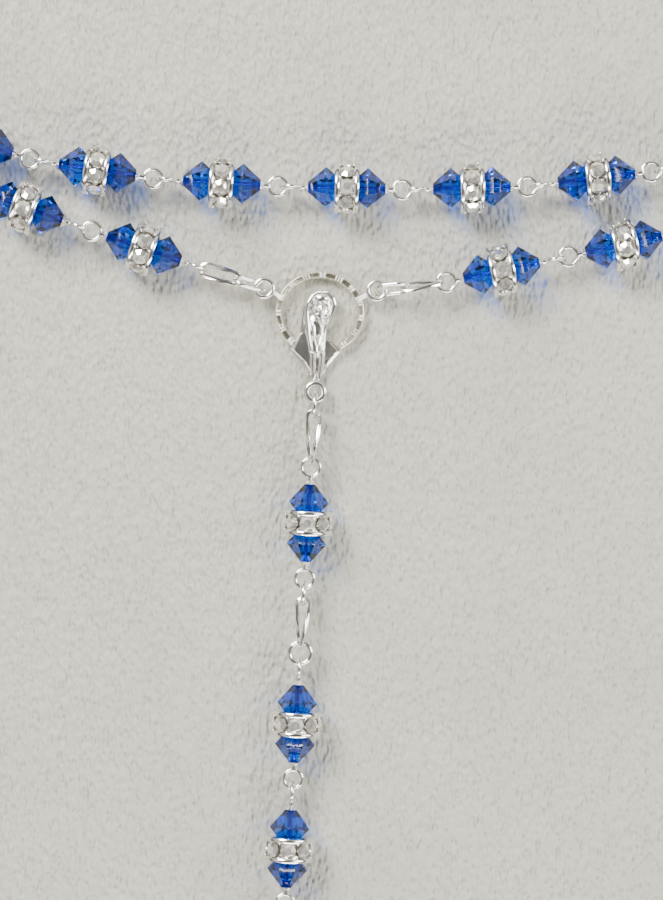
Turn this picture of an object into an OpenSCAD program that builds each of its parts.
// Loop-linked rosary laid flat: five decades of ten bead units, four spacer units, a
// centrepiece medal and a drop chain with five bead units and a cross. Millimetres.
// Origin: centre of the medal's halo on its flat back. +Y is the top of the medal, +Z its front.

/* [Bead unit] */
// Largest diameter of a bicone crystal
crystal_d = 6.1; // [5:0.1:6.4]
// Length of a bicone crystal
crystal_len = 5.5; // [5:0.1:5.8]
// Diameter of a crystal's flat tips
crystal_tip_d = 1.6; // [1.4:0.1:1.8]
// Number of facets on each half of a crystal
crystal_facets = 8; // [6:2:8]
// Outside diameter of a rondelle
rondelle_d = 8; // [7:0.1:8]
// Thickness of a rondelle over both plates
rondelle_t = 3.8; // [3.4:0.1:4]
// Thickness of one rondelle plate
plate_t = 0.85; // [0.6:0.05:1]
// Number of stones set around a rondelle
stones = 8; // [6:1:10]
// Length of a bead unit between the end wires of its two eyes
unit_len = 19.96; // [19.8:0.01:21]

/* [Wire] */
// Diameter of the eye pin's wire
pin_wire = 0.65; // [0.6:0.01:0.66]
// Diameter of the wire of the chain links
link_wire = 0.75; // [0.7:0.01:0.76]
// Diameter of the wire of the jump rings
ring_wire = 0.7; // [0.6:0.01:0.72]
// Radius of an eye, to the middle of its wire
eye_r = 1.4; // [1.3:0.05:1.5]
// Clearance between two linked wires
wire_gap = 0.1; // [0.08:0.01:0.2]

/* [Medal] */
// Outside diameter of the halo ring
halo_d = 14.2; // [13:0.1:15]
// Width of the halo band
halo_band = 1.3; // [1:0.1:2]
// Thickness of the halo and mantle plate
medal_t = 2; // [1.6:0.1:2.4]
// Height of the raised figure above the back
relief_h = 3.2; // [2.6:0.1:3.6]

/* [Cross] */
// Height of the cross without its eye
cross_h = 38; // [30:1:45]
// Width across the arms
cross_w = 24; // [20:1:30]
// Thickness of the cross
cross_t = 2; // [1.5:0.1:3]

/* [Hidden] */
$fn = 48;

// Heights: the rondelles rest on the ground, the castings lie on their backs
chain_z = rondelle_d / 2;
eye_z = 2;
side_eye_z = 2.6;
ring_z = 2.65;
drop_start_z = 3.3;
cross_ring_z = 3;

// Facets round a wire, and how far two solids of one piece lap to be one
wire_fn = 24;
lap = 0.1;

// Room at each end of a unit for the eye, the shank and the cap behind the crystal
end_room = 4.03;

// Kinds of piece in a chain, each measured between the middles of its two end wires
UNIT = 0;
SHORT = 1;
LONG = 2;
OVAL = 3;
RING = 4;
FLAT = 5;
CROSSRING = 6;
DROP = 7;
SIDE = 8;
SIDETURN = 9;
short_len = 3.3;
long_len = 7.6;
oval_len = 4.9;
oval_run = 4.7;
side_len = 6.3;
drop_len = 8.2;
ring_r = 1.95;
ring_run = 3.7;
cross_ring_r = 2.3;
cross_ring_run = 3.9;
LEN = [unit_len, short_len, long_len, oval_run, ring_run, unit_len, cross_ring_run,
       drop_len, side_len, side_len];
WIRE_R = [pin_wire / 2, link_wire / 2, link_wire / 2, link_wire / 2, ring_wire / 2,
          pin_wire / 2, ring_wire / 2, link_wire / 2, link_wire / 2, link_wire / 2];
// True where the two ends of the piece stand a quarter turn apart
TURNS = [true, false, true, false, false, false, false, true, false, true];

// Half-widths of the stadium-shaped links, to the middle of the wire
link_half_w = 0.95;
drop_half_w = 1.05;
oval_half_w = 1.5;
// Turn of the oval links, and of the start of the links after them, about their length
oval_roll = 65;
side_roll = -35;

// Order of pieces out along each chain, starting at the medal's eye
TEN = [for (i = [1:10]) UNIT];
SET = [SHORT, LONG, SHORT];
LEFT = concat([OVAL, SIDE], TEN, SET, [UNIT], SET, TEN, SET, [UNIT], SET);
RIGHT = concat([OVAL, SIDETURN], TEN, SET, [UNIT], SET, TEN, SET, [UNIT], SET, TEN);
PENDANT = concat([RING, DROP, FLAT], SET, [UNIT, UNIT, UNIT], SET, [UNIT, CROSSRING]);

// Headings where each side lobe starts and ends its turn, so that the two chains meet
left_lobe_in = 221.98;
left_lobe_out = -62.43;
right_lobe_in = -62.47;
right_lobe_out = 206.17;

// Heading of each chain in degrees against the distance along it: the way it is laid out
left_lie = [[0, 163], [12, 163], [20, 161], [50, 160], [75, 172], [130, left_lobe_in],
            [420, left_lobe_out], [478, -34]];
right_lie = [[0, 5], [12, 8], [20, 12], [50, 12.5], [75, 2], [130, right_lobe_in], [420, right_lobe_out],
             [480, 216], [499, 206], [518, 198], [537, 190], [556, 184], [566, 181.5],
             [576, 178.5], [595, 178.5], [614, 174.5], [633, 168], [652, 158], [672, 148]];
pendant_lie = [[0, 266.7], [60, 266.7], [100, 265], [170, 262]];

left_eye = [-8.6, 4.2];
right_eye = [8.8, 3.8];
bottom_eye = [-0.7, -11.8];

// Walking a chain: each step is [pivot, heading, start stands upright, place of start wire]
function toward(a) = [cos(a), sin(a)];
function overlap(a, b) = WIRE_R[a] + WIRE_R[b] + wire_gap;
function leaves_upright(kind, up) = TURNS[kind] ? !up : up;
function entry(kinds, i, up) = up || i == 0 ? 0 : overlap(kinds[i - 1], kinds[i]);
function exit(kinds, i, up) =
    leaves_upright(kinds[i], up) ? LEN[kinds[i]]
    : LEN[kinds[i]] - overlap(kinds[i], i + 1 < len(kinds) ? kinds[i + 1] : UNIT);
function step_len(kinds, i, up) = exit(kinds, i, up) - entry(kinds, i, up);
function walk(kinds, lie, start) = [
    for (i = 0, up = true, s = 0, l = step_len(kinds, 0, true), a = lookup(l / 2, lie), p = start;
         i < len(kinds);
         p = p + l * toward(a),
         s = s + l,
         up = !leaves_upright(kinds[i], up),
         i = i + 1,
         l = i < len(kinds) ? step_len(kinds, i, up) : 0,
         a = lookup(s + l / 2, lie))
    [p, a, up, p - entry(kinds, i, up) * toward(a)]
];
left_chain = walk(LEFT, left_lie, left_eye);
right_chain = walk(RIGHT, right_lie, right_eye);
pendant_chain = walk(PENDANT, pendant_lie, bottom_eye);

// Puts a piece drawn along +X from its start wire in its place in a chain
module lay(s, z = chain_z) {
    translate([s[3].x, s[3].y, z]) rotate([0, 0, s[1]]) children();
}

// A closed wire ring lying in the XY plane
module wire_ring(r, wire) {
    rotate_extrude() translate([r, 0]) circle(d = wire, $fn = wire_fn);
}

// Eye at the end of a pin, in the XY plane or standing upright
module eye(x, upright) {
    translate([x, 0, 0]) rotate([upright ? 90 : 0, 0, 0]) wire_ring(eye_r, pin_wire);
}

// Eye pin of one unit with a flared cap behind each crystal
module pin(start_up, end_up) {
    tip = unit_len / 2 - end_room;
    shank_d = 0.6;
    cap_gap = 0.03;
    cap_len = 0.55;
    cap_d = 2.5;
    cap_neck_d = 1.2;
    collar_d = 1;
    collar_len = 0.7;
    place = tip + cap_gap;
    eye(eye_r, start_up);
    eye(unit_len - eye_r, end_up);
    translate([2 * eye_r, 0, 0]) rotate([0, 90, 0])
        cylinder(d = shank_d, h = unit_len - 4 * eye_r);
    for (side = [-1, 1]) {
        translate([unit_len / 2 + side * place, 0, 0]) rotate([0, side * 90, 0])
            cylinder(d1 = cap_d, d2 = cap_neck_d, h = cap_len);
        translate([unit_len / 2 + side * (place + cap_len - lap), 0, 0])
            rotate([0, side * 90, 0]) cylinder(d = collar_d, h = collar_len);
    }
}

// One bicone crystal on the X axis, cut as a facetted double pyramid with a bore
module bicone() {
    bore_d = 1;
    half = crystal_len / 2;
    difference() {
        intersection_for (i = [0:crystal_facets / 2 - 1])
            rotate([i * 360 / crystal_facets, 0, 0]) translate([0, 0, -crystal_d / 2])
                linear_extrude(crystal_d) polygon([
                    [-half, -crystal_tip_d / 2], [0, -crystal_d / 2], [half, -crystal_tip_d / 2],
                    [half, crystal_tip_d / 2], [0, crystal_d / 2], [-half, crystal_tip_d / 2]
                ]);
        rotate([0, 90, 0]) cylinder(d = bore_d, h = crystal_len + 2, center = true);
    }
}

// The two crystals of a unit
module crystal_pair() {
    offset_x = unit_len / 2 - end_room - crystal_len / 2;
    for (side = [-1, 1]) translate([unit_len / 2 + side * offset_x, 0, 0]) bicone();
}

// Rondelle: two dished plates on a hub, with flat-faced stones set around the channel
module rondelle() {
    seat_r = 2.15;
    hub_r = 0.95;
    hub_half = 0.35;
    rim_bevel = 0.15;
    channel_depth = 0.9;
    stone_inset = 0.15;
    stone_lap = 0.2;
    half = rondelle_t / 2;
    outer = rondelle_d / 2;
    channel_r = outer - channel_depth;
    inner_half = half - plate_t;
    translate([unit_len / 2, 0, 0]) rotate([0, 90, 0]) {
        rotate_extrude() polygon([
            [hub_r, -hub_half], [seat_r, -half],
            [outer - rim_bevel, -half], [outer, rim_bevel - half],
            [outer, -inner_half], [channel_r, -inner_half], [channel_r, inner_half],
            [outer, inner_half], [outer, half - rim_bevel], [outer - rim_bevel, half],
            [seat_r, half], [hub_r, hub_half]
        ]);
        difference() {
            cylinder(r = outer - stone_inset, h = 2 * inner_half, center = true, $fn = stones);
            cylinder(r = channel_r - stone_lap, h = rondelle_t, center = true);
        }
    }
}

// Stadium-shaped wire link from its start wire at the origin to its end wire at x = length
module stadium_link(length, half_w, wire) {
    straight = length - 2 * half_w;
    for (side = [-1, 1]) translate([half_w, side * half_w, 0]) rotate([0, 90, 0])
        cylinder(d = wire, h = straight, $fn = wire_fn);
    translate([half_w, 0, 0]) rotate([0, 0, 90]) rotate_extrude(angle = 180)
        translate([half_w, 0]) circle(d = wire, $fn = wire_fn);
    translate([length - half_w, 0, 0]) rotate([0, 0, -90]) rotate_extrude(angle = 180)
        translate([half_w, 0]) circle(d = wire, $fn = wire_fn);
}

// Twisted link: the wire's path round the link, turned about X from roll_a to roll_b
function unit_vec(v) = v / norm(v);
function turned(v, a) = [v.x, v.y * cos(a) - v.z * sin(a), v.y * sin(a) + v.z * cos(a)];
function stadium_path(length, w) = concat(
    [for (a = [90:22.5:269]) [w + w * cos(a), w * sin(a)]],
    [for (i = [0:4]) [w + (length - 2 * w) * i / 5, -w]],
    [for (a = [-90:22.5:89]) [length - w + w * cos(a), w * sin(a)]],
    [for (i = [0:4]) [length - w - (length - 2 * w) * i / 5, w]]
);
module twisted_link(length, half_w, wire, roll_a, roll_b) {
    sides = 8;
    flat = stadium_path(length, half_w);
    n = len(flat);
    roll = [for (q = flat) roll_a + (roll_b - roll_a) * q.x / length];
    path = [for (i = [0:n - 1]) turned([flat[i].x, flat[i].y, 0], roll[i])];
    along = [for (i = [0:n - 1]) unit_vec(path[(i + 1) % n] - path[(i + n - 1) % n])];
    out = [for (i = [0:n - 1]) unit_vec(cross(along[i], turned([0, 0, 1], roll[i])))];
    up = [for (i = [0:n - 1]) cross(out[i], along[i])];
    ring_pts = [for (i = [0:n - 1]) for (k = [0:sides - 1])
        path[i] + wire / 2 * (cos(360 * k / sides) * out[i] + sin(360 * k / sides) * up[i])];
    quads = [for (i = [0:n - 1]) for (k = [0:sides - 1]) [
        i * sides + k, i * sides + (k + 1) % sides,
        ((i + 1) % n) * sides + (k + 1) % sides, ((i + 1) % n) * sides + k]];
    polyhedron(points = ring_pts, faces = quads);
}

// The wire pieces between beads
module link_piece(kind, up) {
    if (kind == SHORT)
        translate([short_len / 2, 0, 0]) rotate([up ? 90 : 0, 0, 0])
            wire_ring(short_len / 2, link_wire);
    if (kind == LONG)
        twisted_link(long_len, link_half_w, link_wire, up ? 90 : 0, up ? 180 : 90);
}

// Sub-parts of a run of pieces from index a to index b of a chain
module run_pins(kinds, chain, a, b) {
    color("silver") for (i = [a:b]) lay(chain[i]) {
        if (kinds[i] == UNIT) pin(chain[i][2], !chain[i][2]);
        else link_piece(kinds[i], chain[i][2]);
    }
}
module run_crystals(kinds, chain, a, b) {
    color("royalblue") for (i = [a:b]) if (kinds[i] == UNIT) lay(chain[i]) crystal_pair();
}
module run_rondelles(kinds, chain, a, b) {
    color("gainsboro") for (i = [a:b]) if (kinds[i] == UNIT) lay(chain[i]) rondelle();
}

// Eyes cast on the medal and the cross: outer radius, hole radius and thickness
side_eye_r = 1.75;
side_hole_r = 0.95;
side_eye_t = 0.8;
lower_eye_r = 1.9;
lower_hole_r = 0.8;
lower_eye_t = 0.9;

// Centrepiece: halo ring, mantle and figure cast in one with its three eyes
module cast_eye(p, r, hole_r, z, eye_t) {
    translate([p.x, p.y, z - eye_t / 2]) difference() {
        cylinder(r = r, h = eye_t);
        translate([0, 0, -1]) cylinder(r = hole_r, h = eye_t + 2);
    }
}
module halo() {
    gap_depth = 4.6;
    gap_half = 3.4;
    difference() {
        cylinder(d = halo_d, h = medal_t);
        translate([0, 0, -1]) cylinder(d = halo_d - 2 * halo_band, h = medal_t + 2);
        translate([-gap_half, -halo_d, -1])
            cube([2 * gap_half, halo_d - gap_depth, medal_t + 2]);
    }
}
module centrepiece() {
    head_r = 2.1;
    head_y = 1.9;
    head_base = 1;
    robe_t = 0.7;
    stem = [3.2, 1.2, 1.3];
    stem_z = side_eye_z - 1;
    eye_room_r = 1.3;
    color("silver") {
        difference() {
            union() {
                halo();
                linear_extrude(medal_t) polygon([
                    [-2.6, 3.4], [-1.2, 5], [1.2, 5], [2.4, 3.4], [2.5, 0.4], [3.2, -2.2], [4.2, -4.4],
                    [3.2, -5.6], [1.6, -7.4], [0.2, -9.6], [0, -10.4], [-1.4, -10.4], [-1.4, -9.6],
                    [-2.4, -7.6], [-4.6, -5.4], [-4.4, -4.2], [-3.2, -2.4], [-2.5, 0.4]
                ]);
                translate([0, 0, medal_t - lap]) linear_extrude(robe_t) polygon([
                    [-1.8, 0.6], [1.8, 0.6], [2.2, -3], [1.2, -6.4], [-0.7, -9], [-2.2, -6], [-2.4, -3]
                ]);
                translate([0, head_y, head_base]) cylinder(r = head_r, h = relief_h - head_base);
                translate([-8.6, 3.1, stem_z]) cube(stem);
                translate([5.4, 2.9, stem_z]) cube(stem);
            }
            for (e = [left_eye, right_eye, bottom_eye])
                translate([e.x, e.y, -1]) cylinder(r = eye_room_r, h = relief_h + 2);
        }
        for (e = [left_eye, right_eye])
            cast_eye(e, side_eye_r, side_hole_r, side_eye_z, side_eye_t);
        cast_eye(bottom_eye, lower_eye_r, lower_hole_r, eye_z, lower_eye_t);
    }
}

// Last link of the left chain, dipped under the eye that it would be linked to
open_link = 35;
open_dip = 50;
module spacer_3_wirework() {
    run_pins(LEFT, left_chain, 29, open_link - 1);
    color("silver") lay(left_chain[open_link]) rotate([0, open_dip, 0]) link_piece(SHORT, false);
}

// Drop chain
ring_step = pendant_chain[0];
drop_step = pendant_chain[1];
last_step = pendant_chain[13];
module drop_jump_ring() {
    color("silver") lay(ring_step, ring_z) translate([ring_r, 0, 0]) rotate([90, 0, 0])
        wire_ring(ring_r, ring_wire);
}
module drop_long_link() {
    rise = asin((chain_z - drop_start_z) / drop_len);
    color("silver") lay(drop_step, drop_start_z) rotate([0, -rise, 0])
        twisted_link(drop_len, drop_half_w, link_wire, 0, 90);
}
module father_1_pin() { color("silver") lay(pendant_chain[2]) pin(false, false); }
module father_1_crystals() { color("royalblue") lay(pendant_chain[2]) crystal_pair(); }
module father_1_rondelle() { color("gainsboro") lay(pendant_chain[2]) rondelle(); }

// Jump ring between the last bead and the cross; it is laid from its middle
cross_ring_centre = last_step[3] + cross_ring_run / 2 * toward(last_step[1]);
module cross_jump_ring() {
    color("silver") translate([cross_ring_centre.x, cross_ring_centre.y, cross_ring_z])
        rotate([0, 0, last_step[1]]) rotate([90, 0, 0]) wire_ring(cross_ring_r, ring_wire);
}

// Plain cross with flared ends, lying on its back; it is drawn hanging along +X from its eye
cross_heading = 259;
cross_eye = last_step[0] + cross_ring_run * toward(last_step[1]) + 0.1 * toward(cross_heading);
module cross() {
    arm_half = 1.9;
    flare_half = 3;
    flare_len = 6;
    crossing = 13.5;
    top = 1.6;
    w = cross_w / 2;
    boss_r = 1.6;
    boss_t = 0.9;
    boss_sides = 8;
    eye_room_r = 1.8;
    color("silver") translate([cross_eye.x, cross_eye.y, 0]) rotate([0, 0, cross_heading]) {
        difference() {
            linear_extrude(cross_t) union() {
                polygon([
                    [top, -flare_half], [top + flare_len, -arm_half],
                    [top + cross_h - flare_len, -arm_half], [top + cross_h, -flare_half],
                    [top + cross_h, flare_half], [top + cross_h - flare_len, arm_half],
                    [top + flare_len, arm_half], [top, flare_half]
                ]);
                polygon([
                    [crossing - flare_half, -w], [crossing + flare_half, -w],
                    [crossing + arm_half, flare_len - w], [crossing + arm_half, w - flare_len],
                    [crossing + flare_half, w], [crossing - flare_half, w],
                    [crossing - arm_half, w - flare_len], [crossing - arm_half, flare_len - w]
                ]);
            }
            translate([0, 0, -1]) cylinder(r = eye_room_r, h = cross_t + 2);
        }
        translate([crossing, 0, cross_t - lap]) cylinder(r = boss_r, h = boss_t, $fn = boss_sides);
        cast_eye([0, 0], lower_eye_r, lower_hole_r, eye_z, lower_eye_t);
    }
}

// Links beside the medal: an oval link turned on its length, then a twisted long link
module side_oval(chain) {
    rise = asin((chain_z - side_eye_z) / oval_len);
    color("silver") lay(chain[0], side_eye_z) rotate([0, -rise, 0]) rotate([oval_roll, 0, 0])
        stadium_link(oval_len, oval_half_w, link_wire);
}
module side_long(chain, end_roll) {
    color("silver") lay(chain[1]) twisted_link(side_len, link_half_w, link_wire, side_roll, end_roll);
}

centrepiece();
drop_jump_ring();
drop_long_link();
father_1_pin();
father_1_crystals();
father_1_rondelle();
run_pins(PENDANT, pendant_chain, 3, 3);  // father_1_short_link
run_pins(PENDANT, pendant_chain, 4, 4);  // drop_middle_link
run_pins(PENDANT, pendant_chain, 5, 5);  // hail_1_short_link
run_pins(PENDANT, pendant_chain, 6, 6);  // hail_1_pin
run_crystals(PENDANT, pendant_chain, 6, 6);  // hail_1_crystals
run_rondelles(PENDANT, pendant_chain, 6, 6);  // hail_1_rondelle
run_pins(PENDANT, pendant_chain, 7, 7);  // hail_2_pin
run_crystals(PENDANT, pendant_chain, 7, 7);  // hail_2_crystals
run_rondelles(PENDANT, pendant_chain, 7, 7);  // hail_2_rondelle
run_pins(PENDANT, pendant_chain, 8, 8);  // hail_3_pin
run_crystals(PENDANT, pendant_chain, 8, 8);  // hail_3_crystals
run_rondelles(PENDANT, pendant_chain, 8, 8);  // hail_3_rondelle
run_pins(PENDANT, pendant_chain, 9, 9);  // hail_3_short_link
run_pins(PENDANT, pendant_chain, 10, 10);  // drop_lower_link
run_pins(PENDANT, pendant_chain, 11, 11);  // father_2_short_link
run_pins(PENDANT, pendant_chain, 12, 12);  // father_2_pin
run_crystals(PENDANT, pendant_chain, 12, 12);  // father_2_crystals
run_rondelles(PENDANT, pendant_chain, 12, 12);  // father_2_rondelle
cross_jump_ring();
cross();
side_oval(left_chain);  // left_oval_link
side_long(left_chain, 0);  // left_long_link
run_pins(LEFT, left_chain, 2, 11);  // decade_1_pins
run_crystals(LEFT, left_chain, 2, 11);  // decade_1_crystals
run_rondelles(LEFT, left_chain, 2, 11);  // decade_1_rondelles
run_pins(LEFT, left_chain, 12, 18);  // spacer_2_wirework
run_crystals(LEFT, left_chain, 12, 18);  // spacer_2_crystals
run_rondelles(LEFT, left_chain, 12, 18);  // spacer_2_rondelle
run_pins(LEFT, left_chain, 19, 28);  // decade_2_pins
run_crystals(LEFT, left_chain, 19, 28);  // decade_2_crystals
run_rondelles(LEFT, left_chain, 19, 28);  // decade_2_rondelles
spacer_3_wirework();
run_crystals(LEFT, left_chain, 29, 35);  // spacer_3_crystals
run_rondelles(LEFT, left_chain, 29, 35);  // spacer_3_rondelle
side_oval(right_chain);  // right_oval_link
side_long(right_chain, -90);  // right_long_link
run_pins(RIGHT, right_chain, 2, 11);  // decade_5_pins
run_crystals(RIGHT, right_chain, 2, 11);  // decade_5_crystals
run_rondelles(RIGHT, right_chain, 2, 11);  // decade_5_rondelles
run_pins(RIGHT, right_chain, 12, 18);  // spacer_5_wirework
run_crystals(RIGHT, right_chain, 12, 18);  // spacer_5_crystals
run_rondelles(RIGHT, right_chain, 12, 18);  // spacer_5_rondelle
run_pins(RIGHT, right_chain, 19, 28);  // decade_4_pins
run_crystals(RIGHT, right_chain, 19, 28);  // decade_4_crystals
run_rondelles(RIGHT, right_chain, 19, 28);  // decade_4_rondelles
run_pins(RIGHT, right_chain, 29, 35);  // spacer_4_wirework
run_crystals(RIGHT, right_chain, 29, 35);  // spacer_4_crystals
run_rondelles(RIGHT, right_chain, 29, 35);  // spacer_4_rondelle
run_pins(RIGHT, right_chain, 36, 45);  // decade_3_pins
run_crystals(RIGHT, right_chain, 36, 45);  // decade_3_crystals
run_rondelles(RIGHT, right_chain, 36, 45);  // decade_3_rondelles
